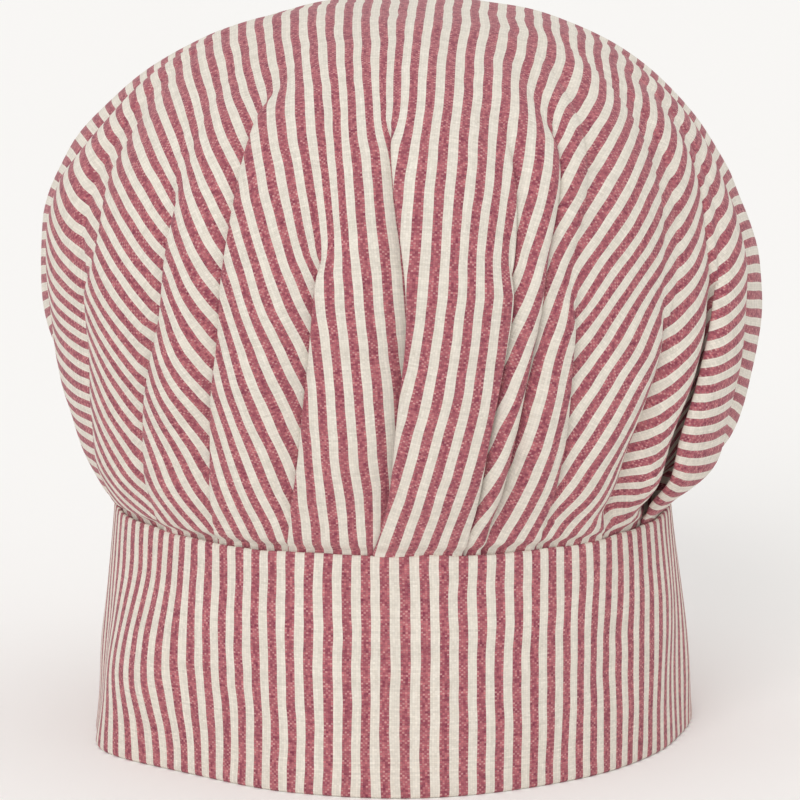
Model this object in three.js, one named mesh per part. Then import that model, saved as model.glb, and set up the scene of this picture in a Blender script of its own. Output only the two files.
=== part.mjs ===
// Chef hat: a floppy crown of one round piece of striped cotton, pleated into a deep straight band.
// Millimetres, +Z up. The hat stands on its rim at z = 0 and its front faces -Y.
// An azimuth is in degrees from the front, positive towards +X.

import * as THREE from 'three';

// Driving dimensions
const BAND_HEIGHT = 70.4;
const BAND_WALL = 2.2;
const CROWN_WALL = 1.8;
const PIECE_GAP = 0.4;
const SEAM_ALLOWANCE = 8;
const SEAM_RADIUS = 87;
const PLEAT_DEPTH = 3.2;
const ALLOWANCE_DEPTH = 1.2;

// Angle round the crown over which the cloth steps down from a pressed edge, in degrees
const STEP_ANGLE = 1.4;

// Resolution
const BAND_COLUMNS = 72;
const BAND_LEVELS = [0, 0.12, 0.28, 0.44, 0.6, 0.76, 0.9, 1];
const PANEL_COLUMNS = 4;
const CROWN_RINGS = 20;
const FIRST_ROW = 0.3;
const LAST_ROW = 14;
const SLOPE_STEP = 0.25;

// Plan of the band, a row every 20 degrees of azimuth from the front: radius at the rim and at the seam
const PLAN = [
  { rim: 93.8, seam: 87.0 },
  { rim: 90.3, seam: 88.0 },
  { rim: 90.2, seam: 87.5 },
  { rim: 88.3, seam: 84.5 },
  { rim: 87.8, seam: 82.5 },
  { rim: 93.0, seam: 83.0 },
  { rim: 95.5, seam: 88.0 },
  { rim: 96.0, seam: 93.0 },
  { rim: 96.0, seam: 96.0 },
  { rim: 96.0, seam: 97.0 },
  { rim: 95.5, seam: 96.5 },
  { rim: 94.5, seam: 94.0 },
  { rim: 93.5, seam: 91.0 },
  { rim: 93.0, seam: 88.5 },
  { rim: 95.0, seam: 87.6 },
  { rim: 96.0, seam: 87.4 },
  { rim: 91.4, seam: 87.4 },
  { rim: 93.0, seam: 87.2 },
];

// Soft dents in the band, and swellings where the depth is below 0: azimuth and height of the
// middle, spread in degrees, rise and depth
const DENTS = [
  { azimuth: -50, height: 36, spread: 17, rise: 20, depth: -2.2 },
  { azimuth: -67, height: 0, spread: 8, rise: 30, depth: -2.2 },
  { azimuth: -57, height: 55, spread: 12, rise: 10, depth: 1.6 },
  { azimuth: -57, height: 26, spread: 12, rise: 11, depth: -1.6 },
  { azimuth: -71, height: 0, spread: 6, rise: 10, depth: -0.5 },
  { azimuth: -84, height: 26, spread: 10, rise: 12, depth: -0.7 },
  { azimuth: -52, height: 4, spread: 8, rise: 14, depth: 0.9 },
  { azimuth: -34, height: 12, spread: 10, rise: 14, depth: 0.8 },
  { azimuth: -76, height: 30, spread: 8, rise: 24, depth: 1.2 },
  { azimuth: 44, height: 34, spread: 9, rise: 24, depth: 1.8 },
  { azimuth: 66, height: 44, spread: 9, rise: 18, depth: -1.4 },
  { azimuth: 84, height: 20, spread: 8, rise: 24, depth: -1.5 },
  { azimuth: 138, height: 30, spread: 14, rise: 26, depth: 1.6 },
  { azimuth: -140, height: 40, spread: 15, rise: 28, depth: 1.6 },
  { azimuth: 108, height: 45, spread: 10, rise: 24, depth: 1.2 },
  { azimuth: -104, height: 28, spread: 12, rise: 22, depth: 1.6 },
];

// Upright section of the crown from the seam to the top: height, and radius on each side
const SECTION = [
  { height: 70.4, front: 87.0, right: 87.0, back: 87.0, left: 87.0 },
  { height: 77.0, front: 89.5, right: 91.4, back: 91.0, left: 91.4 },
  { height: 87.0, front: 93.5, right: 102.8, back: 96.0, left: 96.0 },
  { height: 100.0, front: 98.0, right: 107.2, back: 101.0, left: 98.6 },
  { height: 115.0, front: 102.5, right: 108.5, back: 105.5, left: 103.1 },
  { height: 131.0, front: 106.0, right: 108.1, back: 108.5, left: 106.8 },
  { height: 147.0, front: 107.5, right: 106.0, back: 109.0, left: 107.7 },
  { height: 161.0, front: 106.0, right: 101.6, back: 107.0, left: 106.4 },
  { height: 174.0, front: 102.0, right: 95.6, back: 103.0, left: 99.8 },
  { height: 186.0, front: 94.5, right: 87.4, back: 95.5, left: 90.0 },
  { height: 197.0, front: 83.0, right: 76.8, back: 84.0, left: 77.6 },
  { height: 206.5, front: 68.5, right: 64.8, back: 70.0, left: 62.8 },
  { height: 214.0, front: 52.0, right: 51.6, back: 53.0, left: 47.4 },
  { height: 218.3, front: 36.0, right: 38.0, back: 36.5, left: 34.4 },
  { height: 220.5, front: 18.0, right: 19.0, back: 18.5, left: 18.0 },
  { height: 221.2, front: 0.0, right: 0.0, back: 0.0, left: 0.0 },
];

// Pleats: the azimuth of each pressed edge at the seam, low down, at the widest part, at the
// shoulder and near the top, and the way it faces, 1 towards +X from the front and -1 towards -X
const PLEATS = [
  { seam: -159, low: -158, wide: -157, shoulder: -158, top: -158, faces: -1 },
  { seam: -142, low: -141, wide: -139, shoulder: -141, top: -143, faces: -1 },
  { seam: -125, low: -122, wide: -121, shoulder: -122, top: -124, faces: -1 },
  { seam: -108, low: -104, wide: -102, shoulder: -103, top: -105, faces: -1 },
  { seam: -92, low: -86, wide: -79, shoulder: -81, top: -84, faces: -1 },
  { seam: -76, low: -67, wide: -59.5, shoulder: -64, top: -72, faces: -1 },
  { seam: -54, low: -49, wide: -39.5, shoulder: -41, top: -54, faces: -1 },
  { seam: -38, low: -34, wide: -28, shoulder: -27, top: -31, faces: -1 },
  { seam: -22, low: -18, wide: -13, shoulder: -12, top: -13, faces: -1 },
  { seam: -5, low: -1, wide: 1, shoulder: -1, top: -3, faces: -1 },
  { seam: 12, low: 14, wide: 17, shoulder: 18, top: 16, faces: 1 },
  { seam: 15.5, low: 18.5, wide: 22.5, shoulder: 28, top: 34, faces: 1 },
  { seam: 27, low: 28, wide: 28.5, shoulder: 36, top: 46, faces: 1 },
  { seam: 43.5, low: 44, wide: 49.5, shoulder: 55, top: 61, faces: 1 },
  { seam: 59.5, low: 54.5, wide: 62.5, shoulder: 70, top: 75, faces: -1 },
  { seam: 79, low: 69.5, wide: 75, shoulder: 84, top: 90, faces: 1 },
  { seam: 95, low: 94, wide: 100, shoulder: 102, top: 104, faces: 1 },
  { seam: 107, low: 107, wide: 113, shoulder: 115, top: 115, faces: 1 },
  { seam: 124, low: 124, wide: 130, shoulder: 131, top: 131, faces: 1 },
  { seam: 141, low: 142, wide: 147, shoulder: 148, top: 148, faces: 1 },
  { seam: 158, low: 160, wide: 164, shoulder: 165, top: 165, faces: 1 },
  { seam: 180, low: 181, wide: 183, shoulder: 183, top: 183, faces: 1 },
];
const TOP_ROW = 12;
const FADE_FROM_ROW = 7;
const FADE_TO_ROW = 13;

const STRIPES_FROM_AFAR = 0xc6a19f;
const STRIPED_COTTON = { color: STRIPES_FROM_AFAR, roughness: 0.92, metalness: 0 };

// Place on a ring: azimuth in degrees, radius and height
function at(azimuth, radius, height) {
  const turn = THREE.MathUtils.degToRad(azimuth);
  return [radius * Math.sin(turn), -radius * Math.cos(turn), height];
}

// Catmull-Rom curve through four values, from the second to the third
function through(before, from, to, after, share) {
  const bend = 2 * before - 5 * from + 4 * to - after;
  const swing = 3 * (from - to) + after - before;
  return from + 0.5 * share * (to - before + share * (bend + share * swing));
}

// Value at a fractional place in a list whose ends run on straight
function along(values, place) {
  const last = values.length - 1;
  const start = THREE.MathUtils.clamp(Math.floor(place), 0, last - 1);
  const from = values[start];
  const to = values[start + 1];
  const before = start > 0 ? values[start - 1] : 2 * from - to;
  const after = start + 2 <= last ? values[start + 2] : 2 * to - from;
  return through(before, from, to, after, place - start);
}

// Value at an azimuth in a list of evenly spaced rows that closes on itself
function around(values, azimuth) {
  const count = values.length;
  const place = (((azimuth / 360) * count) % count + count) % count;
  const start = Math.floor(place);
  const row = (step) => values[(start + step + count) % count];
  return through(row(-1), row(0), row(1), row(2), place - start);
}

const rimPlan = PLAN.map((row) => row.rim);
const seamPlan = PLAN.map((row) => row.seam);
const sectionHeights = SECTION.map((row) => row.height);

function dentAt(azimuth, height) {
  let depth = 0;
  for (const dent of DENTS) {
    const aside = (azimuth - dent.azimuth) / dent.spread;
    const above = (height - dent.height) / dent.rise;
    depth += dent.depth * Math.exp(-aside * aside - above * above);
  }
  return depth;
}

// Outer face of the band at a share of its height
function bandRadius(azimuth, share) {
  const signed = THREE.MathUtils.euclideanModulo(azimuth + 180, 360) - 180;
  const straight = THREE.MathUtils.lerp(around(rimPlan, azimuth), around(seamPlan, azimuth), share);
  return straight - dentAt(signed, share * BAND_HEIGHT);
}

// Smooth outer envelope of the crown at a fractional row of its section
function crownEnvelope(azimuth, row) {
  const turn = THREE.MathUtils.degToRad(azimuth);
  const ahead = Math.cos(turn);
  const aside = Math.sin(turn);
  const side = (name) => along(SECTION.map((level) => level[name]), row);
  const radius =
    (ahead > 0 ? side('front') : side('back')) * ahead * ahead +
    (aside > 0 ? side('right') : side('left')) * aside * aside;
  const seamShare = 1 - THREE.MathUtils.smoothstep(row, 0, 5);
  return radius + seamShare * (around(seamPlan, azimuth) - SEAM_RADIUS);
}

// Azimuth of a pleat's pressed edge at a row, followed down to the seam allowance and up to the top
function pleatAzimuth(pleat, row) {
  const stations = [pleat.seam, pleat.low, pleat.wide, pleat.shoulder, pleat.top];
  const last = stations.length - 1;
  return along(stations, THREE.MathUtils.clamp((row / TOP_ROW) * last, 0, last));
}

// Columns round the crown at a row, with how far out each stands, 1 on a pressed edge and 0 under it.
// A panel that starts or ends under its neighbour stops short there, which leaves room for the step.
function crownColumns(row) {
  const columns = [];
  PLEATS.forEach((pleat, index) => {
    const next = PLEATS[(index + 1) % PLEATS.length];
    const lap = index + 1 < PLEATS.length ? 0 : 360;
    const from = pleatAzimuth(pleat, row);
    const to = pleatAzimuth(next, row) + lap;
    const startHeight = pleat.faces < 0 ? 1 : 0;
    const endHeight = next.faces > 0 ? 1 : 0;
    const start = startHeight === 1 ? from : from + STEP_ANGLE;
    const end = endHeight === 1 ? to : to - STEP_ANGLE;
    for (let column = 0; column < PANEL_COLUMNS; column += 1) {
      const share = column / (PANEL_COLUMNS - 1);
      columns.push({
        azimuth: THREE.MathUtils.lerp(start, end, share),
        height: THREE.MathUtils.lerp(startHeight, endHeight, share),
      });
    }
  });
  return columns;
}

// Ring of the crown at a row, a distance in from its envelope along the section's normal
function crownRing(row, inset) {
  const depth = PLEAT_DEPTH * (1 - THREE.MathUtils.smoothstep(row, FADE_FROM_ROW, FADE_TO_ROW));
  return crownColumns(row).map(({ azimuth, height }) => {
    const radius = crownEnvelope(azimuth, row);
    const level = along(sectionHeights, row);
    const outward = crownEnvelope(azimuth, row + SLOPE_STEP) - crownEnvelope(azimuth, row - SLOPE_STEP);
    const upward = along(sectionHeights, row + SLOPE_STEP) - along(sectionHeights, row - SLOPE_STEP);
    const slope = Math.hypot(outward, upward);
    const distance = inset + depth * (1 - height);
    return at(azimuth, radius - (distance * upward) / slope, level + (distance * outward) / slope);
  });
}

// Ring of the seam allowance, which is sewn to the inside of the band
function allowanceRing(level, inset) {
  const share = Math.min(level / BAND_HEIGHT, 1);
  return crownColumns(0).map(({ azimuth, height }) => {
    const outer = bandRadius(azimuth, share) - BAND_WALL - PIECE_GAP;
    return at(azimuth, outer - inset - ALLOWANCE_DEPTH * (1 - height), level);
  });
}

// Closed body from a loop of rings, where a ring of one point closes a dome
function ringBody(rings) {
  const positions = rings.flat(2);
  const starts = [];
  rings.reduce((count, ring) => {
    starts.push(count);
    return count + ring.length;
  }, 0);
  const indices = [];
  rings.forEach((ring, index) => {
    const above = (index + 1) % rings.length;
    const columns = Math.max(ring.length, rings[above].length);
    const low = (column) => starts[index] + (column % ring.length);
    const high = (column) => starts[above] + (column % rings[above].length);
    for (let column = 0; column < columns; column += 1) {
      if (ring.length > 1) {
        indices.push(low(column), low(column + 1), high(column + 1));
      }
      if (rings[above].length > 1) {
        indices.push(low(column), high(column + 1), high(column));
      }
    }
  });
  const geometry = new THREE.BufferGeometry();
  geometry.setAttribute('position', new THREE.Float32BufferAttribute(positions, 3));
  geometry.setIndex(indices);
  return geometry;
}

function bandBody() {
  const azimuths = Array.from({ length: BAND_COLUMNS }, (_, column) => (column / BAND_COLUMNS) * 360);
  const face = (inset) =>
    BAND_LEVELS.map((share) =>
      azimuths.map((azimuth) => at(azimuth, bandRadius(azimuth, share) - inset, share * BAND_HEIGHT)),
    );
  return ringBody([...face(0), ...face(BAND_WALL).reverse()]);
}

function crownBody() {
  const rows = Array.from(
    { length: CROWN_RINGS },
    (_, ring) => THREE.MathUtils.lerp(FIRST_ROW, LAST_ROW, ring / (CROWN_RINGS - 1)),
  );
  const top = SECTION[SECTION.length - 1].height;
  const face = (inset) => [
    allowanceRing(BAND_HEIGHT - SEAM_ALLOWANCE, inset),
    allowanceRing(BAND_HEIGHT + PIECE_GAP, inset),
    ...rows.map((row) => crownRing(row, inset)),
    [[0, 0, top - inset]],
  ];
  return ringBody([...face(0), ...face(CROWN_WALL).reverse()]);
}

function piece(name, geometry) {
  geometry.computeVertexNormals();
  const mesh = new THREE.Mesh(geometry, new THREE.MeshStandardMaterial(STRIPED_COTTON));
  mesh.name = name;
  return mesh;
}

const chefHat = new THREE.Group();
chefHat.name = 'chef_hat';
chefHat.add(piece('band', bandBody()));
chefHat.add(piece('crown', crownBody()));

export default chefHat;
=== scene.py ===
"""Chef hat of striped cotton: a round crown pleated into a deep folded band.

Metres, +Z up, the front of the hat faces -Y. An azimuth is in degrees from the front, positive
towards +X. The crown and the band are sheets of cloth, folded as the real ones are.
"""
import math
from functools import partial

import bpy
import numpy as np
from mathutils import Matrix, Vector, noise


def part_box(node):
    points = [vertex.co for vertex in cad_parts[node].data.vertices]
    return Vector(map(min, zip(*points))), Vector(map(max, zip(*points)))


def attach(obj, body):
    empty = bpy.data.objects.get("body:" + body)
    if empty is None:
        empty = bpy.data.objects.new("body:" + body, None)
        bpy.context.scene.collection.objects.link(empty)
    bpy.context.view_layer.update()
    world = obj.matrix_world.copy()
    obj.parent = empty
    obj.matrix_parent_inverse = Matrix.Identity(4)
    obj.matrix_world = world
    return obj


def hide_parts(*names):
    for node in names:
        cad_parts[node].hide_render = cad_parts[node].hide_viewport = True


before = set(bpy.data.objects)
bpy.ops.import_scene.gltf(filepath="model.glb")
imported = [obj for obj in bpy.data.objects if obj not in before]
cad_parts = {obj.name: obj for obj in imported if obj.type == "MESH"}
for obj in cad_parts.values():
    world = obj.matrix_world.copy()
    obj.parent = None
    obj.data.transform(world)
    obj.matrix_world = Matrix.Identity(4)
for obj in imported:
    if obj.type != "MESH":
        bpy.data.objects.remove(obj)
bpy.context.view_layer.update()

MM = 0.001

# Sizes of the hat
BAND_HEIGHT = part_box("band")[1][2]
BAND_WALL = 2.2 * MM
SEAM_RADIUS = 87.0 * MM
CLOTH = 0.55 * MM
ALLOWANCE = 8.0 * MM

# Cloth: a red and a cream stripe together are 5.35 mm wide. Each thread is drawn as coarse as three
# real ones, because real ones are too fine to show at the camera's distance.
STRIPE = 5.35 * MM
THREADS_IN_STRIPE = 8
RED_THREADS = 4
WARP_PITCH = STRIPE / THREADS_IN_STRIPE
WEFT_PITCH = 0.62 * MM

# Plan of the band, a row every 20 degrees from the front: radius at the rim and at the seam (mm)
PLAN = [
    # rim, seam
    (93.8, 87.0),
    (90.3, 88.0),
    (90.2, 87.5),
    (88.3, 84.5),
    (87.8, 82.5),
    (93.0, 83.0),
    (95.5, 88.0),
    (96.0, 93.0),
    (96.0, 96.0),
    (96.0, 97.0),
    (95.5, 96.5),
    (94.5, 94.0),
    (93.5, 91.0),
    (93.0, 88.5),
    (95.0, 87.6),
    (96.0, 87.4),
    (91.4, 87.4),
    (93.0, 87.2),
]

# Upright section of the crown from the seam to the top: height, and radius on each side (mm)
SECTION = [
    # height, front, right, back, left
    (70.4, 87.0, 87.0, 87.0, 87.0),
    (77.0, 89.5, 91.4, 91.0, 91.4),
    (87.0, 93.5, 102.8, 96.0, 96.0),
    (100.0, 98.0, 107.2, 101.0, 98.6),
    (115.0, 102.5, 108.5, 105.5, 103.1),
    (131.0, 106.0, 108.1, 108.5, 106.8),
    (147.0, 107.5, 106.0, 109.0, 107.7),
    (161.0, 106.0, 101.6, 107.0, 106.4),
    (174.0, 102.0, 95.6, 103.0, 99.8),
    (186.0, 94.5, 87.4, 95.5, 90.0),
    (197.0, 83.0, 76.8, 84.0, 77.6),
    (206.5, 68.5, 64.8, 70.0, 62.8),
    (214.0, 52.0, 51.6, 53.0, 47.4),
    (218.3, 36.0, 38.0, 36.5, 34.4),
    (220.5, 18.0, 19.0, 18.5, 18.0),
    (221.2, 0.0, 0.0, 0.0, 0.0),
]

# Pressed edges of the pleats: azimuth at the seam, low down, at the widest part, at the shoulder and
# near the top; the row of the section that the fold reaches up to; the way the edge faces, 1
# towards +X from the front and -1 towards -X; how far it stands off, as a share of the usual; how
# deep the cloth rounds over before the edge, and how deep the next panel starts below it (mm)
PLEATS = [
    # seam, low, wide, shoulder, top, reach, faces, stand, round, sink
    (-159, -158, -157, -158, -158, 10.0, -1, 1.0, 0.6, 0.5),
    (-142, -141, -139, -141, -143, 11.0, -1, 1.0, 0.3, 0.0),
    (-125, -122, -121, -122, -124, 9.5, -1, 1.1, 0.8, 1.0),
    (-108, -104, -102, -103, -105, 10.5, -1, 1.0, 1.2, 1.0),
    (-92, -86, -79, -81, -84, 10.0, -1, 1.2, 0.6, 0.5),
    (-76, -67, -59.5, -64, -72, 11.0, -1, 1.0, 0.0, 0.0),
    (-54, -49, -39.5, -41, -54, 12.2, -1, 1.0, 0.0, 0.0),
    (-38, -34, -28, -27, -31, 12.0, -1, 1.0, 0.0, 0.0),
    (-22, -18, -13, -12, -13, 8.0, -1, 0.8, 0.0, 0.0),
    (-5, -1, 1, -1, -3, 10.8, -1, 0.7, 0.0, 0.0),
    (12, 14, 17, 18, 16, 7.8, 1, 0.9, 0.0, 0.0),
    (15.5, 18.5, 22.5, 28, 34, 10.8, 1, 1.1, 1.4, 1.0),
    (27, 28, 28.5, 36, 46, 7.2, 1, 0.9, 0.0, 0.0),
    (43.5, 44, 49.5, 55, 61, 7.6, 1, 1.1, 7.0, 5.0),
    (59.5, 54.5, 62.5, 70, 75, 7.6, -1, 0.3, 1.5, 5.0),
    (79, 69.5, 75, 84, 90, 8.0, 1, 0.4, 2.6, 4.8),
    (95, 94, 100, 102, 104, 9.0, 1, 1.0, 1.0, 0.5),
    (107, 107, 113, 115, 115, 10.5, 1, 1.0, 0.4, 0.0),
    (124, 124, 130, 131, 131, 9.5, 1, 1.0, 0.6, 0.5),
    (141, 142, 147, 148, 148, 11.0, 1, 1.1, 1.0, 1.0),
    (158, 160, 164, 165, 165, 9.0, 1, 1.0, 0.4, 0.0),
    (180, 181, 183, 183, 183, 10.0, 1, 1.0, 0.5, 0.5),
]

# Angle between the stripes and the way down the hat, on the panel that starts at each edge above,
# and how far it puffs out, as a share of the usual
PANELS = [
    # seam, low, wide, shoulder, top, puff
    (-164, -158, -152, -151, -149, 1.0),
    (-152, -145, -137, -134, -132, 1.0),
    (-139, -131, -121, -116, -113, 1.0),
    (-122, -113, -100, -94, -93, 1.0),
    (-94, -80, -63, -73, -80, 1.0),
    (-56, -30, -47, -60, -65, 1.0),
    (-24, -19, -30, -44, -46, 1.0),
    (-11, -11, -20, -21, -25, 1.0),
    (-1, -1, -5, -9, -9, 0.8),
    (14, 12, 5, 10, 10, 0.8),
    (22, 20, 21, 22, 27, 1.0),
    (23, 10, 22, 46, 38, 1.0),
    (28, 25, 44, 53, 46, 1.0),
    (70, 54, 56, 57, 66, 1.2),
    (100, 90, 66, 71, 77, 0.7),
    (114, 106, 100, 92, 94, 1.0),
    (131, 128, 118, 110, 109, 1.0),
    (142, 138, 131, 126, 124, 1.0),
    (153, 149, 144, 141, 141, 1.0),
    (164, 160, 157, 157, 158, 1.0),
    (174, 172, 172, 173, 175, 1.0),
    (186, 188, 191, 192, 194, 1.0),
]

# The stations in both tables lie this many rows of the section apart, up to the top one
STATION_ROWS = 3
TOP_ROW = 12

# Soft dents in the band, and swellings where the depth is below 0: azimuth and height of the
# middle, spread in degrees, rise and depth (mm)
DENTS = [
    # azimuth, height, spread, rise, depth
    (-50, 36, 17, 20, -2.2),
    (-67, 0, 8, 30, -2.2),
    (-57, 55, 12, 10, 1.6),
    (-57, 26, 12, 11, -1.6),
    (-71, 0, 6, 10, -0.5),
    (-84, 26, 10, 12, -0.7),
    (-52, 4, 8, 14, 0.9),
    (-34, 12, 10, 14, 0.8),
    (-76, 30, 8, 24, 1.2),
    (44, 34, 9, 24, 1.8),
    (66, 44, 9, 18, -1.4),
    (84, 20, 8, 24, -1.5),
    (138, 30, 14, 26, 1.6),
    (-140, 40, 15, 28, 1.6),
    (108, 45, 10, 24, 1.2),
    (-104, 28, 12, 22, 1.6),
]

# Unevenness of the pressed cloth: how much, its wavelength (m) and the seed of its waves. Edges
# drift by degrees and puffs by a share, and a row of the section counts as so many metres for them.
EDGE_DRIFT, EDGE_DRIFT_ROW = (0.5, 0.03, 1), 0.012
PUFF_DRIFT, PUFF_DRIFT_ROW = (0.45, 0.03, 2), 0.01
CROWN_WAVES = [(1.3 * MM, 0.05, 3), (0.45 * MM, 0.02, 4)]
BAND_WAVES = (0.9 * MM, 0.045, 5)
SEAM_WAVES = (0.35 * MM, 0.012, 6)
WAVES_RADIUS = 0.1
SEED_SHIFT = 7.3
NOISE_GAIN = 1.8

# Curves through tables

def between(before, start, end, after, share):
    """Place on a smooth curve from start to end that heads on to the points beyond them."""
    bend = 2 * before - 5 * start + 4 * end - after
    swing = 3 * (start - end) + after - before
    return start + 0.5 * share * (end - before + share * (bend + share * swing))


def along(values, place):
    """Value at a fractional place in a list whose ends run straight on."""
    values = np.asarray(values, float)
    padded = np.concatenate([[2 * values[0] - values[1]], values, [2 * values[-1] - values[-2]]])
    start = np.clip(np.floor(place).astype(int), 0, len(values) - 2)
    share = place - start
    return between(padded[start], padded[start + 1], padded[start + 2], padded[start + 3], share)


def around(values, azimuth):
    """Value at an azimuth in a list of evenly spaced rows that closes on itself."""
    values = np.asarray(values, float)
    place = np.asarray(azimuth) / 360 * len(values)
    start = np.floor(place).astype(int)
    row = [values[(start + step) % len(values)] for step in (-1, 0, 1, 2)]
    return between(*row, place - start)


def smoothstep(value, low, high):
    share = np.clip((value - low) / (high - low), 0, 1)
    return share * share * (3 - 2 * share)


def wrapped(azimuth):
    """Azimuth between -180 and 180 degrees."""
    return (azimuth + 180) % 360 - 180


def waves_at(spots, wavelength, seed):
    """Smooth seeded unevenness, about -1 to 1, at places in space."""
    moved = np.reshape(spots, (-1, 3)) / wavelength + seed * SEED_SHIFT
    values = np.array([noise.noise(Vector(spot)) for spot in moved])
    return values.reshape(np.shape(spots)[:-1]) * NOISE_GAIN


def waves(azimuth, level, wavelength, seed):
    """The same at azimuths and levels on a round form about as wide as the hat."""
    turn = np.radians(azimuth)
    aside, ahead = WAVES_RADIUS * np.sin(turn), -WAVES_RADIUS * np.cos(turn)
    return waves_at(np.stack(np.broadcast_arrays(aside, ahead, level), -1), wavelength, seed)


plan = np.array(PLAN) * MM
section = np.array(SECTION) * MM
pleats = np.array(PLEATS)
dents = np.array(DENTS)
EDGES = pleats[:, :5]
STRIPES = np.array(PANELS)[:, :5]
PUFF = np.array(PANELS)[:, 5]
REACH, FACES, STAND = pleats[:, 5], pleats[:, 6], pleats[:, 7]
ROUND, SINK = pleats[:, 8] * MM, pleats[:, 9] * MM
PANEL_COUNT = len(pleats)


# Outer form

def crown_radius(azimuth, row):
    """Radius of the crown's smooth outer envelope at a fractional row of its section."""
    turn = np.radians(azimuth)
    ahead, aside = np.cos(turn), np.sin(turn)
    front, right, back, left = (along(section[:, side], row) for side in (1, 2, 3, 4))
    radius = np.where(ahead > 0, front, back) * ahead**2 + np.where(aside > 0, right, left) * aside**2
    seam_share = 1 - smoothstep(row, *PLAN_ROWS)
    return radius + seam_share * (around(plan[:, 1], azimuth) - SEAM_RADIUS)


def crown_place(azimuth, row, inset):
    """Point at an azimuth and row, a distance in from the envelope along the section's normal."""
    step = 0.25
    radius = crown_radius(azimuth, row)
    height = along(section[:, 0], row)
    outward = crown_radius(azimuth, row + step) - crown_radius(azimuth, row - step)
    upward = along(section[:, 0], row + step) - along(section[:, 0], row - step)
    slope = np.hypot(outward, upward)
    radius = np.maximum(radius - inset * upward / slope, 0)
    height = height + inset * outward / slope
    turn = np.radians(azimuth)
    return np.stack([radius * np.sin(turn), -radius * np.cos(turn), height], -1)


def dent_depth(azimuth, height):
    depth = 0
    for middle, level, spread, rise, deep in dents:
        aside = wrapped(azimuth - middle) / spread
        above = (height / MM - level) / rise
        depth = depth + deep * MM * np.exp(-aside**2 - above**2)
    return depth


def band_radius(azimuth, height):
    """Outer face of the band."""
    share = height / BAND_HEIGHT
    straight = around(plan[:, 0], azimuth) * (1 - share) + around(plan[:, 1], azimuth) * share
    return straight - dent_depth(azimuth, height)


# Crown cloth

# Points of a fold's section, by the turn of its rolled edge and of its tuck
PANEL_POINTS = 11
EDGE_TURNS = np.radians([62, 28, 0, -28, -62])
RETURN_POINTS = 3
TUCK_TURNS = np.radians([60, 0, -60])
FOLD_POINTS = len(EDGE_TURNS) + RETURN_POINTS + len(TUCK_TURNS)
OUTER_TIP = len(EDGE_TURNS) // 2
INNER_TIP = FOLD_POINTS - 1 - len(TUCK_TURNS) // 2

# Rings of the crown, close together at the seam and ending just short of the top centre
CROWN_RINGS = 94
FIRST_RING_STEP = 0.9 * MM
LAST_RING = 1.5 * MM
MERIDIAN_POINTS = 1500
MAP_STEP = 0.05

# A fold opens out where it laps by less than OPEN_LAP, and over the last FOLD_FADE rows of its
# reach. Laid open, its points spread over FLAT_SHARE of the panel's width to each side.
OPEN_LAP = 3.0 * MM
FOLD_FADE = 2.5
FLAT_SHARE = 0.14

# A lap is at most LAP_LIMIT of the covering panel's width, and the rolls of its edge and its tuck
# are at most these shares of the lap. A covered panel keeps LAYERS thicknesses of cloth below.
LAP_LIMIT = 0.48
ROLL_SHARE, TUCK_SHARE = 0.45, 0.3
TUCK_ROLL = 0.7 * MM
LAYERS = 2.2

# Step of the cloth at a pleat, and roll of its edge, at the seam and where the cloth is loose
SEAM_STEP, FULL_STEP = 0.75 * MM, 2.9 * MM
SEAM_ROLL, FULL_ROLL = 0.5 * MM, 0.65 * MM
FULL_PUFF = 2.6 * MM

# A panel slopes up from at most TILE_LAP of its width under its neighbour. The cloth rounds over
# before a pressed edge within ROUND_SPREAD times the rounding's depth, by up to ROUND_LIMIT of the
# drop there. HIGH_VALLEY is the share of a sink that is left above the valley's rows.
TILE_LAP = 0.45
ROUND_SPREAD = 2.4
ROUND_LIMIT = 0.8
SINK_POWER = 3.5
HIGH_VALLEY = 0.3

# Cloth that rises this many steps lies on the envelope, and all cloth lies further in at the seam
STEPS_DEEP = 1.5
SEAM_INSET = 1.5 * MM

# Rows of the section over which each of these comes in or goes out
LOOSE_ROWS = (0.1, 2.6)
DRIFT_ROWS = (0.3, 2)
SINK_ROWS = (0, 1)
VALLEY_ROWS = (2.4, 4.6)
PUFF_ROWS, PUFF_END_ROWS = (0.0, 3.5), (7.5, 13)
ROUND_ROWS = (0, 1.5)
WAVE_ROWS = (0.2, 2.5)
INSET_ROWS = (0, 0.5)
PLAN_ROWS = (0, 5)

# Near the top centre the stripes lie evenly round, turned by TWIST degrees
EVEN_ROWS = (11.8, 14.0)
TWIST = 1.5

# Share of a panel's width, at each end, that is placed by its fold and not by the panel
FOLD_END = 0.13


def meridian():
    """Rows of the section, and how far down the cloth from the top centre each one lies."""
    rows = np.linspace(0, len(section) - 1, MERIDIAN_POINTS)
    radius = sum(along(section[:, side], rows) for side in (1, 2, 3, 4)) / 4
    height = along(section[:, 0], rows)
    steps = np.hypot(np.diff(radius), np.diff(height))
    down = np.concatenate([np.cumsum(steps[::-1])[::-1], [0]])
    return rows, down


SECTION_ROWS, SECTION_DOWN = meridian()
CLOTH_RADIUS = SECTION_DOWN[0]


def row_at(down):
    return float(np.interp(-down, -SECTION_DOWN, SECTION_ROWS))


def edge_azimuths(row):
    """Azimuth of each pressed edge at a row, a little uneven from pleat to pleat."""
    place = np.array(min(row, TOP_ROW) / STATION_ROWS)
    stations = np.array([along(stations, place) for stations in EDGES])
    size, wavelength, seed = EDGE_DRIFT
    drift = size * waves(pleats[:, 1], row * EDGE_DRIFT_ROW, wavelength, seed)
    return stations + drift * smoothstep(row, *DRIFT_ROWS)


def panel_middles(edges):
    """Azimuth of the middle of each panel, and the angle it spans, from its edges."""
    spans = np.append(edges[1:], edges[0] + 360) - edges
    return edges + spans / 2, spans


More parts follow.
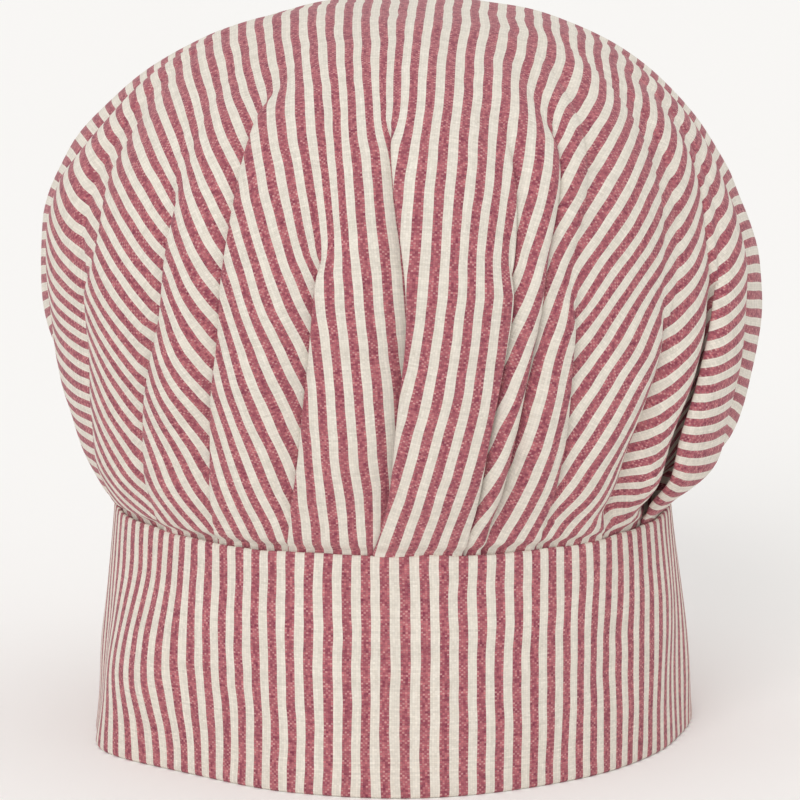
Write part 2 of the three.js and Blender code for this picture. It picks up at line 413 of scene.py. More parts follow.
def stripe_angles(row, middles):
    """Angle of the stripes on each panel. Near the top centre the cloth lies evenly round."""
    place = np.array(min(row, TOP_ROW) / STATION_ROWS)
    stations = np.array([along(angles, place) for angles in STRIPES])
    even = smoothstep(row, *EVEN_ROWS)
    return stations * (1 - even) + (middles + TWIST) * even


def across(angle):
    """Direction on the flat cloth, whose stripes run along Y, of going round the hat."""
    return np.stack([np.cos(angle), np.sin(angle)], -1)


def downward(angle):
    """Direction on the flat cloth of going down the hat."""
    return np.stack([np.sin(angle), -np.cos(angle)], -1)


def panel_maps():
    """Places on the flat cloth of the middle line of each panel, and its stripes' angle.

    A walk down each line from the top centre, which stretches nothing on the way.
    """
    rows = np.arange(len(section) - 1, -MAP_STEP / 2, -MAP_STEP)
    middles = np.array([panel_middles(edge_azimuths(row))[0] for row in rows])
    turns = np.radians([stripe_angles(row, middle) for row, middle in zip(rows, middles)])
    radius = crown_radius(middles, rows[:, None])
    fall = np.diff(along(section[:, 0], rows))[:, None]
    steps_down = np.hypot(np.diff(radius, axis=0), fall)
    steps_round = np.radians(np.diff(middles, axis=0)) * (radius[1:] + radius[:-1]) / 2
    mean = (turns[1:] + turns[:-1]) / 2
    steps = steps_down[..., None] * downward(mean) + steps_round[..., None] * across(mean)
    places = np.concatenate([np.zeros_like(steps[:1]), np.cumsum(steps, axis=0)])
    return places, turns


def panel_map(row):
    """Place on the flat cloth of the middle of each panel, and its stripes' angle, at a row."""
    step = (len(section) - 1 - row) / MAP_STEP
    above = min(int(step), len(MAP_TURNS) - 2)
    share = step - above
    place = MAP_PLACES[above] * (1 - share) + MAP_PLACES[above + 1] * share
    turn = MAP_TURNS[above] * (1 - share) + MAP_TURNS[above + 1] * share
    return place, turn


def ring_bends(middles, row):
    """Curvature on the flat cloth of a ring round the hat, at the middle of each panel."""
    step = 0.1
    below, above = crown_radius(middles, row - step), crown_radius(middles, row + step)
    fall = along(section[:, 0], row + step) - along(section[:, 0], row - step)
    return (below - above) / np.hypot(below - above, fall) / crown_radius(middles, row)


MAP_PLACES, MAP_TURNS = panel_maps()


def fold_section(lap, width, roll, cover, below):
    """Section of a fold that faces +1: from the upper panel round its edge, back, and out again.

    cover and below give the height of the upper and the lower panel at a distance from the edge.
    Gives the distance from the edge and the height. The cloth lies open where the lap runs out.
    """
    roll = min(roll, lap * ROLL_SHARE)
    tuck = min(TUCK_ROLL, lap * TUCK_SHARE)
    edge_x = roll * (np.cos(EDGE_TURNS) - 1)
    return_x = np.linspace(-roll, tuck - lap, RETURN_POINTS + 2)[1:-1]
    tuck_x = tuck * (1 - np.cos(TUCK_TURNS)) - lap
    folded = np.concatenate([edge_x, return_x, tuck_x])
    top, under = cover(folded), below(folded)
    thick = np.minimum(2 * roll, 0.5 * (top - under))
    edge_share = 0.5 - 0.5 * np.sin(EDGE_TURNS)
    tuck_share = 0.5 - 0.5 * np.sin(TUCK_TURNS)
    upper = np.concatenate([edge_share, np.ones(RETURN_POINTS + len(TUCK_TURNS))])
    lower = np.concatenate([np.zeros(len(EDGE_TURNS) + RETURN_POINTS), tuck_share])
    rise = top - thick * upper - (top - thick - under) * lower
    flat = np.linspace(-1, 1, FOLD_POINTS) * FLAT_SHARE * width
    opened = 1 - smoothstep(lap, 0, OPEN_LAP)
    return folded * (1 - opened) + flat * opened, rise, opened


def panel_height(x, width, lap_start, lap_end, step_start, step_end):
    """Height of a panel that slopes up like a roof tile from under one neighbour or from both."""
    if lap_start is None and lap_end is None:
        return step_start + (step_end - step_start) * x / width
    heights = []
    if lap_start is not None:
        lap_start = min(lap_start, TILE_LAP * width)
        heights.append(step_end * (x + lap_start) / width)
    if lap_end is not None:
        lap_end = min(lap_end, TILE_LAP * width)
        heights.append(step_start * (width + lap_end - x) / width)
    return np.maximum(np.minimum.reduce(heights), 0)


def rounding(depth, aside):
    """Fall of the cloth at a distance from the edge that it rounds over before."""
    reach = max(ROUND_SPREAD * depth, CLOTH)
    return depth * np.clip(1 - aside / reach, 0, 1) ** 2


def rounding_length(depth, aside):
    """Cloth that the rounding takes up beyond its width, from the panel out to a place."""
    reach = max(ROUND_SPREAD * depth, CLOTH)
    return 2 / 3 * depth**2 / reach * np.clip(1 - aside / reach, 0, 1) ** 3


class CrownRing:
    """A ring of the crown cloth at a row of the section, lowered by low where it lies in the band.

    A panel is the cloth from one pressed edge to the next. x is the distance from its first edge,
    and a lap is how far the cloth at an edge runs under the panel that covers it.
    """

    def __init__(self, row, low):
        self.row, self.low = row, low
        self.edges = edge_azimuths(row)
        self.middles, self.spans = panel_middles(self.edges)
        self.widths = np.radians(self.spans) * crown_radius(self.middles, row)
        self.centres, self.turns = panel_map(row)
        self.bends = ring_bends(self.middles, row)
        self.set_laps()
        self.set_heights()

    def on_cloth(self, panel, x):
        """Coordinates on the flat cloth."""
        aside = np.asarray(x) - self.widths[panel] / 2
        chord = across(self.turns[panel] + self.bends[panel] * aside / 2)
        here = self.turns[panel] + self.bends[panel] * aside
        return self.centres[panel] + aside[..., None] * chord + self.low * downward(here)

    def shared(self, panel, x):
        """The same, shared with the neighbour where the fold between them lies open."""
        x = np.asarray(x)
        share = x / self.widths[panel]
        before, following = panel - 1, (panel + 1) % PANEL_COUNT
        earlier = (1 - smoothstep(share, -0.5, 0.5)) * (1 - self.folded[panel])
        later = smoothstep(share, 0.5, 1.5) * (1 - self.folded[following])
        flat = self.on_cloth(panel, x) * (1 - earlier - later)[..., None]
        flat = flat + self.on_cloth(before, x + self.widths[before]) * earlier[..., None]
        return flat + self.on_cloth(following, x - self.widths[panel]) * later[..., None]

    def set_laps(self):
        """A fold takes up the flat cloth that lies between the panels on its two sides."""
        panels = range(PANEL_COUNT)
        self.ends = np.array([self.on_cloth(panel - 1, self.widths[panel - 1]) for panel in panels])
        self.starts = np.array([self.on_cloth(panel, 0.0) for panel in panels])
        heading = across(self.turns) + across(np.roll(self.turns, 1))
        heading = heading / np.linalg.norm(heading, axis=1)[:, None]
        laps = np.maximum(((self.starts - self.ends) * heading).sum(1), 0) / 2
        laps = laps * (1 - smoothstep(self.row, REACH - FOLD_FADE, REACH))
        covering = np.where(FACES > 0, np.roll(self.widths, 1), self.widths)
        self.laps = np.minimum(laps, LAP_LIMIT * covering)
        self.folded = smoothstep(self.laps, 0, OPEN_LAP)

    def set_heights(self):
        """How far the cloth steps, sinks, puffs out and rounds over at this row."""
        row = self.row
        loose = smoothstep(row, *LOOSE_ROWS)
        self.usual_step = SEAM_STEP + (FULL_STEP - SEAM_STEP) * loose
        self.steps = self.usual_step * (1 + (STAND - 1) * loose) * self.folded
        self.roll = SEAM_ROLL + (FULL_ROLL - SEAM_ROLL) * loose
        valley = 1 - (1 - HIGH_VALLEY) * smoothstep(row, *VALLEY_ROWS)
        self.sinks = SINK * self.folded * valley * smoothstep(row, *SINK_ROWS)
        puffs = FULL_PUFF * smoothstep(row, *PUFF_ROWS) * (1 - smoothstep(row, *PUFF_END_ROWS))
        size, wavelength, seed = PUFF_DRIFT
        drift = size * waves(self.middles, row * PUFF_DRIFT_ROW, wavelength, seed)
        self.puffs = puffs * PUFF * (1 + drift)
        drops = np.array([
            FACES[panel] * float(self.tile(panel - 1, self.widths[panel - 1]) - self.tile(panel, 0.0))
            for panel in range(PANEL_COUNT)
        ])
        rounds = ROUND * self.folded * smoothstep(row, *ROUND_ROWS)
        self.rounds = np.maximum(np.minimum(rounds, ROUND_LIMIT * drops), 0)

    def tile(self, panel, x):
        """Height of a panel before its edges are rounded."""
        following = (panel + 1) % PANEL_COUNT
        start = self.laps[panel] if FACES[panel] > 0 else None
        end = self.laps[following] if FACES[following] < 0 else None
        width = self.widths[panel]
        rise = panel_height(x, width, start, end, self.steps[panel], self.steps[following])
        if start is None and end is None:
            rise = rise + np.mean(self.steps)
        inside = np.clip(x / width, 0, 1)
        rise = rise + self.puffs[panel] * np.sin(np.pi * inside)
        if start is not None:
            rise = rise - self.sinks[panel] * (1 - inside) ** SINK_POWER
        if end is not None:
            rise = rise - self.sinks[following] * inside ** SINK_POWER
        return rise

    def height(self, panel, x):
        """Height of a panel above the deepest cloth of the ring."""
        following = (panel + 1) % PANEL_COUNT
        rise = self.tile(panel, x)
        if FACES[panel] < 0:
            rise = rise - rounding(self.rounds[panel], x)
        if FACES[following] > 0:
            rise = rise - rounding(self.rounds[following], self.widths[panel] - x)
        return rise

    def lower(self, edge, x):
        """Height of the lower panel at an edge, kept below the upper one that covers it."""
        before = self.height(edge - 1, self.widths[edge - 1] + x)
        after = self.height(edge, x)
        own, cover = (after, before) if FACES[edge] > 0 else (before, after)
        below = np.minimum(own, cover - LAYERS * CLOTH * self.folded[edge])
        return np.where(FACES[edge] * x < 0, below, own)

    def fold(self, edge):
        """Section of the fold at an edge, in order round the hat, and how open it lies."""
        before = edge - 1

        def cover(aside):
            if FACES[edge] > 0:
                return self.height(before, self.widths[before] + aside)
            return self.height(edge, -aside)

        def below(aside):
            return self.lower(edge, FACES[edge] * aside)

        width = min(self.widths[before], self.widths[edge])
        x, rise, opened = fold_section(self.laps[edge], width, self.roll, cover, below)
        if FACES[edge] > 0:
            return x, rise, opened
        return -x[::-1], rise[::-1], opened

    def fold_marks(self, edge, x, opened):
        """The two tips of a fold, and where they lie on the flat cloth."""
        before = edge - 1
        hidden = (self.starts[edge] + self.ends[edge]) / 2
        taken = rounding_length(self.rounds[edge], 0)
        if FACES[edge] > 0:
            tips = [OUTER_TIP, INNER_TIP]
            outer = self.shared(before, self.widths[before] + x[OUTER_TIP] + taken)
            inner = self.shared(edge, x[INNER_TIP])
            return tips, [outer, hidden * (1 - opened) + inner * opened]
        tips = [FOLD_POINTS - 1 - INNER_TIP, FOLD_POINTS - 1 - OUTER_TIP]
        inner = self.shared(before, self.widths[before] + x[tips[0]])
        outer = self.shared(edge, x[tips[1]] - taken)
        return tips, [hidden * (1 - opened) + inner * opened, outer]

    def panel_rise(self, panel, x):
        """Height of a panel, kept below its neighbours where they cover it."""
        following = (panel + 1) % PANEL_COUNT
        rise = self.height(panel, x)
        if FACES[panel] > 0:
            rise = np.where(x < 0, self.lower(panel, x), rise)
        if FACES[following] < 0:
            past = x - self.widths[panel]
            rise = np.where(past > 0, self.lower(following, past), rise)
        return rise

    def panel_marks(self, panel, x):
        """The points of a panel between its folds, and where they lie on the flat cloth."""
        following = (panel + 1) % PANEL_COUNT
        width = self.widths[panel]
        seen = np.flatnonzero((x > FOLD_END * width) & (x < (1 - FOLD_END) * width))
        spare = np.zeros(len(seen))
        if FACES[panel] < 0:
            spare = spare - rounding_length(self.rounds[panel], x[seen])
        if FACES[following] > 0:
            spare = spare + rounding_length(self.rounds[following], width - x[seen])
        return seen, self.shared(panel, x[seen] + spare)

    def outline(self):
        """Azimuth and rise of each point round the ring, and marks with their flat coordinates."""
        folds = [self.fold(edge) for edge in range(PANEL_COUNT)]
        azimuths, rises, marks, flats = [], [], [], []
        for panel, (fold_x, fold_rise, opened) in enumerate(folds):
            next_fold_x = folds[(panel + 1) % PANEL_COUNT][0]
            end = self.widths[panel] + next_fold_x[0]
            panel_x = np.linspace(fold_x[-1], end, PANEL_POINTS + 2)[1:-1]
            stretches = [
                (fold_x, fold_rise, self.fold_marks(panel, fold_x, opened)),
                (panel_x, self.panel_rise(panel, panel_x), self.panel_marks(panel, panel_x)),
            ]
            per_metre = self.spans[panel] / self.widths[panel]
            for x, rise, (points, places) in stretches:
                marks.extend(len(azimuths) + point for point in points)
                flats.extend(places)
                azimuths.extend(self.edges[panel] + x * per_metre)
                rises.extend(rise)
        return np.array(azimuths), np.array(rises), marks, np.array(flats)

    def cloth(self):
        """Places of the points, and their coordinates on the flat round cloth."""
        azimuths, rises, marks, flats = self.outline()
        row = self.row
        inset = STEPS_DEEP * self.usual_step * np.mean(self.folded) - rises
        inset = inset + SEAM_INSET * (1 - smoothstep(row, *INSET_ROWS))
        spots = crown_place(azimuths, row, 0.0)
        uneven = sum(size * waves_at(spots, length, seed) for size, length, seed in CROWN_WAVES)
        inset = inset - uneven * smoothstep(row, *WAVE_ROWS)
        places = crown_place(azimuths, row, inset)
        places[:, 2] -= self.low

        # Between two marks the cloth is shared out by length
        steps = np.linalg.norm(np.roll(places, -1, axis=0) - places, axis=1)
        total = steps.sum()
        lengths = np.concatenate([[0], np.cumsum(steps)[:-1]])
        marked = lengths[marks]
        marked = np.concatenate([marked - total, marked, marked + total])
        flats = np.tile(flats, (3, 1))
        flat = np.stack([np.interp(lengths, marked, flats[:, axis]) for axis in (0, 1)], -1)
        return places, flat


def ring_distances():
    """Distance down the cloth from the top centre of each ring, close together at the seam."""
    growth = np.linspace(0, 1, CROWN_RINGS)
    even = (CLOTH_RADIUS - LAST_RING) / (CROWN_RINGS - 1)
    crowding = 1 - FIRST_RING_STEP / even
    spread = growth - crowding * np.sin(np.pi * growth) * (1 - growth) ** 2 / np.pi
    return CLOTH_RADIUS - spread * (CLOTH_RADIUS - LAST_RING)


def sheet_mesh(name, points, faces, flat, material):
    """Sheet of cloth with its flat coordinates, in metres, as its UV map."""
    mesh = bpy.data.meshes.new(name)
    mesh.from_pydata([tuple(point) for point in points], [], faces)
    layer = mesh.uv_layers.new(name="flat_cloth")
    layer.data.foreach_set("uv", np.asarray(flat, np.float32).ravel())
    mesh.polygons.foreach_set("use_smooth", [True] * len(mesh.polygons))
    mesh.update()
    piece = bpy.data.objects.new(name, mesh)
    bpy.context.scene.collection.objects.link(piece)
    mesh.materials.append(material)
    return piece


def thicken(piece, thickness):
    """Give a sheet the thickness of its cloth, half to each side."""
    solid = piece.modifiers.new("cloth", "SOLIDIFY")
    solid.thickness = thickness
    solid.offset = 0
    solid.use_even_offset = False
    bpy.context.view_layer.objects.active = piece
    bpy.ops.object.modifier_apply(modifier=solid.name)


def crown_piece(material):
    rings = [CrownRing(0.0, low).cloth() for low in (ALLOWANCE, ALLOWANCE / 2)]
    rings.extend(CrownRing(row_at(down), 0.0).cloth() for down in ring_distances())
    columns = len(rings[0][0])
    points = np.concatenate([places for places, flat in rings] + [[(0, 0, section[-1, 0])]])
    flat = np.concatenate([flat for places, flat in rings] + [[(0, 0)]])
    faces = []
    for ring in range(len(rings) - 1):
        start, above = ring * columns, (ring + 1) * columns
        for column in range(columns):
            beside = (column + 1) % columns
            faces.append((start + column, start + beside, above + beside, above + column))
    top = len(points) - 1
    last = (len(rings) - 1) * columns
    faces.extend((last + column, last + (column + 1) % columns, top) for column in range(columns))
    corners = np.concatenate([flat[list(face)] for face in faces])
    piece = sheet_mesh("crown_cloth", points, faces, corners, material)
    thicken(piece, CLOTH)
    return piece


# Band cloth

BAND_COLUMNS = 420
BAND_STRETCH = 1.05
FACE_LEVELS = 26

# Turned-in edge at the seam, rolled over by EDGE_OVER
TURN_IN = 6 * MM
TURN_IN_SHARES = (1, 0.6, 0.25)
EDGE_ROLL = 0.4 * MM
EDGE_OVER = np.radians([180, 135, 90, 45])

# Fold under the rim, and the outer and inner faces above it
RIM_UNDER = np.radians([20, 50, 75, 105, 130, 160])
FACE_FOOT = 1.6 * MM
FACE_BELOW_SEAM, LINING_BELOW_SEAM = 1.5 * MM, 1.2 * MM

# The inner layer stands further in near the seam, where the crown's allowance lies between
LINING_GAP = 1.8 * MM
LINING_GAP_BELOW_SEAM = (18 * MM, 8 * MM)

# Closing seam at the middle of the back, and how far below the seam the band's edge turns wavy
SEAM_GROOVE = 0.5 * MM
SEAM_GROOVE_SPREAD = 0.5
EDGE_WAVES_FROM = 10 * MM


def band_section():
    """Section of the folded band, from its turned-in edge over the seam, down and up again.

    Gives height, inset from the outer face and distance along the cloth.
    """
    skin = CLOTH / 2
    turn_in = [(BAND_HEIGHT - TURN_IN * share, skin + 2 * EDGE_ROLL) for share in TURN_IN_SHARES]
    edge_middle = BAND_HEIGHT - skin - EDGE_ROLL
    edge = [
        (edge_middle + EDGE_ROLL * math.sin(turn), skin + EDGE_ROLL * (1 - math.cos(turn)))
        for turn in EDGE_OVER
    ]
    face_top = BAND_HEIGHT - FACE_BELOW_SEAM
    outer = [(level, skin) for level in np.linspace(face_top, FACE_FOOT, FACE_LEVELS)]
    fold_radius = (BAND_WALL - CLOTH) / 2
    rim = [
        (skin + fold_radius * (1 - math.sin(turn)), BAND_WALL / 2 - fold_radius * math.cos(turn))
        for turn in RIM_UNDER
    ]
    gap_from, gap_to = (BAND_HEIGHT - below for below in LINING_GAP_BELOW_SEAM)
    lining_top = BAND_HEIGHT - LINING_BELOW_SEAM
    inner = [
        (level, BAND_WALL - skin + LINING_GAP * float(smoothstep(level, gap_from, gap_to)))
        for level in np.linspace(FACE_FOOT, lining_top, FACE_LEVELS // 2)
    ]
    rows = np.array(turn_in + edge + outer + rim + inner)
    steps = np.hypot(np.diff(rows[:, 0]), np.diff(rows[:, 1]))
    return rows[:, 0], rows[:, 1], np.concatenate([[0], np.cumsum(steps)])


def round_lengths(level, azimuths):
    """Distance round the band from the front to each azimuth, at a height."""
    share = level / BAND_HEIGHT
    radius = around(plan[:, 0], azimuths) * (1 - share) + around(plan[:, 1], azimuths) * share
    turns = np.radians(azimuths)
    steps = np.hypot(np.diff(radius * np.sin(turns)), np.diff(radius * np.cos(turns)))
    lengths = np.concatenate([[0], np.cumsum(steps)])
    return lengths - np.interp(0, azimuths, lengths)


def band_ring(level, inset, distance, azimuths):
    """Places round the band at a row of its section, and their coordinates on the flat strip."""
    clipped = min(max(level, 0), BAND_HEIGHT)
    size, wavelength, seed = BAND_WAVES
    radius = band_radius(azimuths, clipped) - inset
    radius = radius + size * waves(azimuths, clipped, wavelength, seed)
    radius = radius - SEAM_GROOVE * np.exp(-((180 - np.abs(azimuths)) / SEAM_GROOVE_SPREAD) ** 2)
    size, wavelength, seed = SEAM_WAVES
    at_seam = float(smoothstep(level, BAND_HEIGHT - EDGE_WAVES_FROM, BAND_HEIGHT))
    rise = size * (waves(azimuths, 0.0, wavelength, seed) - 1) * at_seam
    turn = np.radians(azimuths)
    places = np.stack([radius * np.sin(turn), -radius * np.cos(turn), level + rise], -1)
    lengths = round_lengths(clipped, azimuths) / BAND_STRETCH
    return places, np.stack([lengths, np.full_like(turn, distance)], -1)


def band_piece(material):
    """The band, and the width of its flat strip."""
    azimuths = np.linspace(-180, 180, BAND_COLUMNS + 1)
    heights, insets, distances = band_section()
    rings = [band_ring(*row, azimuths) for row in zip(heights, insets, distances)]
    corners, faces = [], []
    for ring in range(len(rings) - 1):
        start, below = ring * BAND_COLUMNS, (ring + 1) * BAND_COLUMNS
        flat, flat_below = rings[ring][1], rings[ring + 1][1]
        for column in range(BAND_COLUMNS):
            beside = (column + 1) % BAND_COLUMNS
            faces.append((start + column, below + column, below + beside, start + beside))
            corners.extend((flat[column], flat_below[column]))
            corners.extend((flat_below[column + 1], flat[column + 1]))
    points = np.concatenate([places[:-1] for places, flat in rings])
    piece = sheet_mesh("band_cloth", points, faces, np.array(corners), material)
    thicken(piece, CLOTH)
    return piece, distances[-1]


# Materials

# Red and cream yarn, at their darkest and lightest
RED_DARK = "863D50"
RED_LIGHT = "BE7277"
CREAM_DARK = "D3CABC"
CREAM_LIGHT = "EBE5DB"

# Sizes of the weave's unevenness: threads wander by WANDER over a length, yarn thickens into
# slubs, and dye and nap are mottled
WANDER = 1.5 * MM
WANDER_LENGTH = 22.2 * MM
SLUB_LENGTH = 6.25 * MM
MOTTLE_SIZE = 1.667 * MM
FUZZ_SIZE = 0.385 * MM
WEAVE_RELIEF = 0.08 * MM

# What the red's shade comes from, as shares, and the range that is used of it
DYE_MOTTLE, DYE_SLUB, DYE_CROSSING = 0.45, 0.3, 0.25
DYE_FROM, DYE_TO = 0.3, 0.7

# Half the width and height, in threads, of the lens in which the weft shows as it crosses over a
# warp thread. Over red it looks reddened by the warp, less so in flecks and at the stripe's edges.
WEFT_SHOW = (0.46, 0.36)
WEFT_FLECK = 0.24
FLECK_POWER = 2.0
EDGE_BLUSH, MORE_INSIDE = 0.9, 0.1

# Brightness of the cloth, what threads and crossings add to it, and the shade painted into the grooves
BASE_SHADE = 0.9
WARP_SHADE, WEFT_SHADE, CROSSING_SHADE = 0.08, 0.1, 0.12
WARP_GROOVE_PAINTED_SHADE, WEFT_GROOVE_PAINTED_SHADE = 1.5, 1.0
PAINTED_GROOVE_SHADE = 0.2
WEFT_SEED = 517.0

# Height of the threads where the weft crosses over and where the warp does is the second plus and
# minus the first. The nap lies on top.
CROSSING_LIFT, THREAD_LIFT = 0.2, 0.8
FUZZ_LIFT = 0.5
RELIEF_STRENGTH = 0.5


def linear(hex_colour):
    """Linear colour from an sRGB hex value."""
    parts = [int(hex_colour[start:start + 2], 16) / 255 for start in (0, 2, 4)]
    parts = [part / 12.92 if part <= 0.04045 else ((part + 0.055) / 1.055) ** 2.4 for part in parts]
    return parts + [1.0]


def add_node(tree, kind, inputs=(), output=0, **settings):
    """Add a shader node: its settings, a link or a value for each input, and which output it gives."""
    node = tree.nodes.new("ShaderNode" + kind)
    for key, value in settings.items():
        setattr(node, key, value)
    for key, value in inputs.items() if isinstance(inputs, dict) else enumerate(inputs):
        if isinstance(value, bpy.types.NodeSocket):
            tree.links.new(value, node.inputs[key])
        else:
            node.inputs[key].default_value = value
    return node.outputs[output] if node.outputs else None


def thread_grid(add, cloth):
    """Place across and along the warp, number of the warp and the weft thread there, and how far
    the place lies from the middle of each, in threads. The threads wander from straight."""
    wander = add("TexNoise", {"Vector": cloth, "Scale": 1 / WANDER_LENGTH, "Detail": 2.0, "Roughness": 0.5},
                 output="Color", noise_dimensions="2D")
    centred = add("VectorMath", (wander, (0.5, 0.5, 0.5)), operation="SUBTRACT")
    shifted = add("VectorMath", (centred, (WANDER, WANDER, 0.0), cloth), operation="MULTIPLY_ADD")
    places = add("SeparateXYZ", (shifted,)).node.outputs[:2]
    numbers, asides = [], []
    for place, pitch in zip(places, (WARP_PITCH, WEFT_PITCH)):
        threads = add("Math", (place, pitch), operation="DIVIDE")
        numbers.append(add("Math", (threads,), operation="FLOOR"))
        share = add("Math", (threads,), operation="FRACT")
        asides.append(add("Math", (share, 0.5), operation="SUBTRACT"))
    return places, numbers, asides


def slubs(add, places, numbers):
    """Thick and thin stretches along each warp and each weft thread, 0 to 1."""
    across_warp, along_warp = places
    along_warp = add("Math", (along_warp, 1 / SLUB_LENGTH), operation="MULTIPLY")
    along_weft = add("Math", (across_warp, 1 / SLUB_LENGTH), operation="MULTIPLY")
    spots = (add("CombineXYZ", (numbers[0], along_warp)), add("CombineXYZ", (along_weft, numbers[1])))
    return [
        add("TexNoise", {"Vector": spot, "Scale": 1.0, "Detail": 2.0}, noise_dimensions="2D")
        for spot in spots
    ]


def yarn_colours(add, cloth, numbers, warp_slub, weft_slub, crossing_tone):
    """Colour of the warp and of the weft at a place, red in the first threads of each stripe."""
    in_stripe = add("Math", (numbers[0], THREADS_IN_STRIPE), operation="FLOORED_MODULO")
    red_thread = add("Math", (in_stripe, RED_THREADS - 0.5), operation="LESS_THAN")
    past_first = add("Math", (in_stripe, 0.5), operation="GREATER_THAN")
    before_last = add("Math", (in_stripe, RED_THREADS - 1.5), operation="LESS_THAN")
    inner_thread = add("Math", (past_first, before_last), operation="MULTIPLY")

    mottle = add("TexNoise", {"Vector": cloth, "Scale": 1 / MOTTLE_SIZE, "Detail": 3.0, "Roughness": 0.65},
                 noise_dimensions="2D")
    dye = add("Math", (crossing_tone, DYE_CROSSING), operation="MULTIPLY")
    dye = add("Math", (warp_slub, DYE_SLUB, dye), operation="MULTIPLY_ADD")
    dye = add("Math", (mottle, DYE_MOTTLE, dye), operation="MULTIPLY_ADD")
    dye = add("MapRange", {"Value": dye, "From Min": DYE_FROM, "From Max": DYE_TO})
    red = add("Mix", {"Factor": dye, "A": linear(RED_DARK), "B": linear(RED_LIGHT)},
              output="Result", data_type="RGBA")
    warp_cream, weft_cream = [
        add("Mix", {"Factor": slub, "A": linear(CREAM_DARK), "B": linear(CREAM_LIGHT)},
            output="Result", data_type="RGBA")
        for slub in (warp_slub, weft_slub)
    ]
    warp = add("Mix", {"Factor": red_thread, "A": warp_cream, "B": red}, output="Result", data_type="RGBA")

    fleck = add("Math", (crossing_tone, FLECK_POWER), operation="POWER")
    reddened = add("Math", (fleck, -WEFT_FLECK, 1.0), operation="MULTIPLY_ADD")
    blush = add("Math", (red_thread, EDGE_BLUSH), operation="MULTIPLY")
    blush = add("Math", (inner_thread, MORE_INSIDE, blush), operation="MULTIPLY_ADD")
    blush = add("Math", (reddened, blush), operation="MULTIPLY")
    weft = add("Mix", {"Factor": blush, "A": weft_cream, "B": red}, output="Result", data_type="RGBA")
    return warp, weft


def weft_lens(add, asides, crossing):
    """1 where the weft shows, in a small lens over the warp thread at every other crossing."""
    squares = []
    for aside, half in zip(asides, WEFT_SHOW):
        share = add("Math", (aside, half), operation="DIVIDE")
        squares.append(add("Math", (share, 2.0), operation="POWER"))
    lens = add("Math", squares, operation="ADD")
    inside = add("Math", (lens, 1.0), operation="LESS_THAN")
    return add("Math", (inside, crossing), operation="MULTIPLY")


def weave_shade(add, numbers, asides, crossing_tone):
    """Brightness: threads and crossings differ in tone, and shade is painted into the grooves between
    threads.
    """
    warp_tone = add("TexWhiteNoise", {"W": numbers[0]}, noise_dimensions="1D")
    weft_seed = add("Math", (numbers[1], WEFT_SEED), operation="ADD")
    weft_tone = add("TexWhiteNoise", {"W": weft_seed}, noise_dimensions="1D")
    tone = add("Math", (weft_tone, WEFT_SHADE), operation="MULTIPLY")
    tone = add("Math", (warp_tone, WARP_SHADE, tone), operation="MULTIPLY_ADD")
    tone = add("Math", (crossing_tone, CROSSING_SHADE, tone), operation="MULTIPLY_ADD")
    bright = add("Math", (tone, BASE_SHADE), operation="ADD")
    warp_round, weft_round = [add("Math", (aside, aside), operation="MULTIPLY") for aside in asides]
    # Painted shade: the colour is darker towards the grooves between the threads
    painted_groove_shade = add("Math", (weft_round, WEFT_GROOVE_PAINTED_SHADE), operation="MULTIPLY")
    painted_groove_shade = add("Math", (warp_round, WARP_GROOVE_PAINTED_SHADE, painted_groove_shade), operation="MULTIPLY_ADD")
    painted_groove_shade = add("Math", (painted_groove_shade, PAINTED_GROOVE_SHADE), operation="MULTIPLY")
    return add("Math", (bright, painted_groove_shade), operation="SUBTRACT")


def weave_bump(add, cloth, asides, crossing):
    """Relief of the rounded threads, higher where the weft crosses over, with a fuzzy nap."""
    over = add("Math", (crossing, 2.0), operation="MULTIPLY")
    over = add("Math", (over, 1.0), operation="SUBTRACT")
    rounds = []
    for aside in asides:
        turn = add("Math", (aside, math.pi), operation="MULTIPLY")
        rounds.append(add("Math", (turn,), operation="COSINE"))
    thread_top = add("Math", rounds, operation="MULTIPLY")
    lift = add("Math", (over, CROSSING_LIFT, THREAD_LIFT), operation="MULTIPLY_ADD")
    relief = add("Math", (thread_top, lift), operation="MULTIPLY")
    fuzz = add("TexNoise", {"Vector": cloth, "Scale": 1 / FUZZ_SIZE, "Detail": 2.0}, noise_dimensions="2D")
    height = add("Math", (fuzz, FUZZ_LIFT, relief), operation="MULTIPLY_ADD")
    return add("Bump", {"Strength": RELIEF_STRENGTH, "Distance": WEAVE_RELIEF, "Height": height})


def striped_cotton():
    """Yarn-dyed cotton, plain woven: red and cream warp crossed by cream weft.

    The eye sees matt stripes with toothed edges, flecked where the weft crosses the red warp, thin
    thread lines across the cream, and uneven tone from thread to thread and along each one. Shade is
    painted into the grooves between the threads.
    """
    material = bpy.data.materials.new("striped_cotton_woven")
    material.use_nodes = True
    material.node_tree.nodes.clear()
    add = partial(add_node, material.node_tree)

    cloth = add("UVMap", uv_map="flat_cloth")
    places, numbers, asides = thread_grid(add, cloth)
    cell = add("CombineXYZ", numbers)
    crossing_tone = add("TexWhiteNoise", {"Vector": cell}, noise_dimensions="2D")
    warp_slub, weft_slub = slubs(add, places, numbers)
    warp, weft = yarn_colours(add, cloth, numbers, warp_slub, weft_slub, crossing_tone)
    thread_sum = add("Math", numbers, operation="ADD")
    crossing = add("Math", (thread_sum, 2.0), operation="FLOORED_MODULO")
    weft_on_top = weft_lens(add, asides, crossing)
    woven = add("Mix", {"Factor": weft_on_top, "A": warp, "B": weft}, output="Result", data_type="RGBA")
    shade = weave_shade(add, numbers, asides, crossing_tone)
    # Random tone and painted groove shade, multiplied into the colour
    colour = add("VectorMath", {0: woven, "Scale": shade}, operation="SCALE")

    shader = add("BsdfPrincipled", {
        "Base Color": colour,
        "Roughness": 0.9,
        "IOR": 1.5,
        "Specular IOR Level": 0.25,
        "Sheen Weight": 0.12,
        "Sheen Roughness": 0.5,
        "Normal": weave_bump(add, cloth, asides, crossing),
    })
    add("OutputMaterial", {"Surface": shader})
    return material


# Floor, light and camera

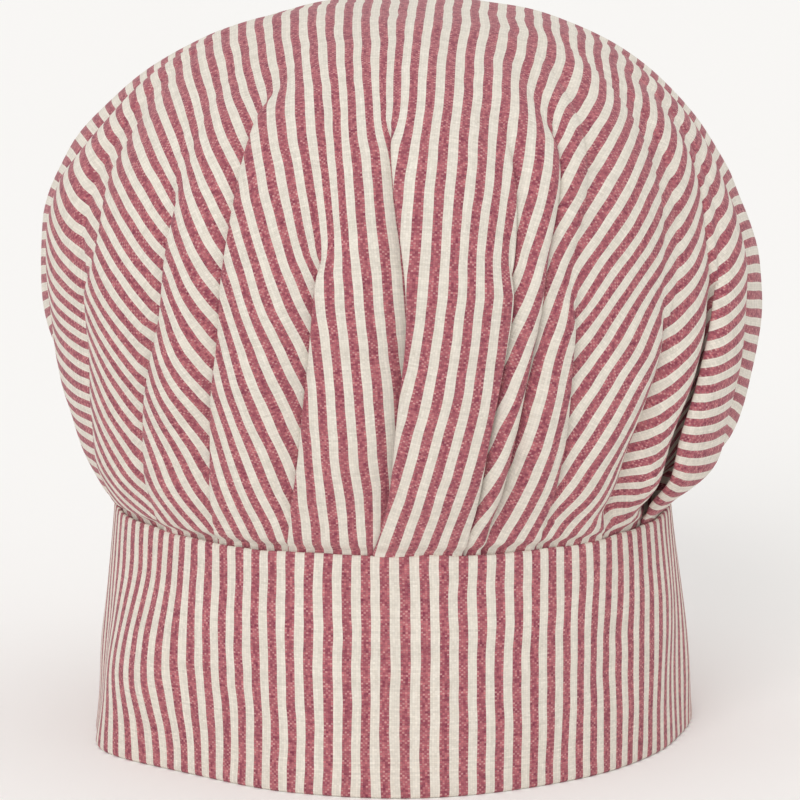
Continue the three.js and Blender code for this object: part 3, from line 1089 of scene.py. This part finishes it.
FLOOR_REACH = 8.0
WORLD_STRENGTH = 0.74
LIGHT_AIM = (0, 0, 0.12)
LIGHTS = [
    # name, place it shines from, spread (degrees), strength
    ("key_softbox", (-0.7, -2.3, 1.6), 30, 0.93),
    ("top_softbox", (0.3, 0.1, 2.5), 60, 0.36),
]

CAMERA_DISTANCE = 1.35
CAMERA_HEIGHT = 0.345
AIM_HEIGHT = 0.0999
LENS = 202.5
SENSOR = 36.0


def floor():
    """Plain pale floor of matt white paper, which gives the eye a soft even ground."""
    mesh = bpy.data.meshes.new("studio_floor")
    corners = [(-1, -1), (1, -1), (1, 1), (-1, 1)]
    mesh.from_pydata([(x * FLOOR_REACH, y * FLOOR_REACH, 0) for x, y in corners], [], [(0, 1, 2, 3)])
    sheet = bpy.data.objects.new("studio_floor", mesh)
    bpy.context.scene.collection.objects.link(sheet)
    paper = bpy.data.materials.new("matt_white_paper")
    paper.use_nodes = True
    surface = paper.node_tree.nodes["Principled BSDF"]
    surface.inputs["Base Color"].default_value = linear("FBFAF9")
    surface.inputs["Roughness"].default_value = 0.95
    surface.inputs["Specular IOR Level"].default_value = 0.1
    mesh.materials.append(paper)


def point_at(holder, place, aim):
    """Put a lamp or a camera at a place, facing another."""
    holder.location = place
    heading = Vector(aim) - Vector(place)
    holder.rotation_euler = heading.to_track_quat("-Z", "Y").to_euler()
    bpy.context.scene.collection.objects.link(holder)


def soft_light():
    world = bpy.data.worlds.new("soft_studio")
    world.use_nodes = True
    world.node_tree.nodes["Background"].inputs["Color"].default_value = linear("FBFAF8")
    world.node_tree.nodes["Background"].inputs["Strength"].default_value = WORLD_STRENGTH
    bpy.context.scene.world = world
    for name, place, spread, strength in LIGHTS:
        lamp = bpy.data.lights.new(name, "SUN")
        lamp.angle = math.radians(spread)
        lamp.energy = strength
        point_at(bpy.data.objects.new(name, lamp), place, LIGHT_AIM)


def camera():
    lens = bpy.data.cameras.new("photo_view")
    lens.lens = LENS
    lens.sensor_width = SENSOR
    holder = bpy.data.objects.new("photo_view", lens)
    point_at(holder, (0.0, -CAMERA_DISTANCE, CAMERA_HEIGHT), (0.0, 0.0, AIM_HEIGHT))
    bpy.context.scene.camera = holder


# Assembly

floor()
soft_light()
camera()
bpy.context.scene.view_settings.view_transform = "Standard"

cotton = striped_cotton()
crown = crown_piece(cotton)
band, strip_length = band_piece(cotton)

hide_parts("crown")
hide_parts("band")
for piece in (crown, band):
    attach(piece, "root")

girth = 2 * round_lengths(BAND_HEIGHT / 2, np.linspace(-180, 180, BAND_COLUMNS + 1))[-1]
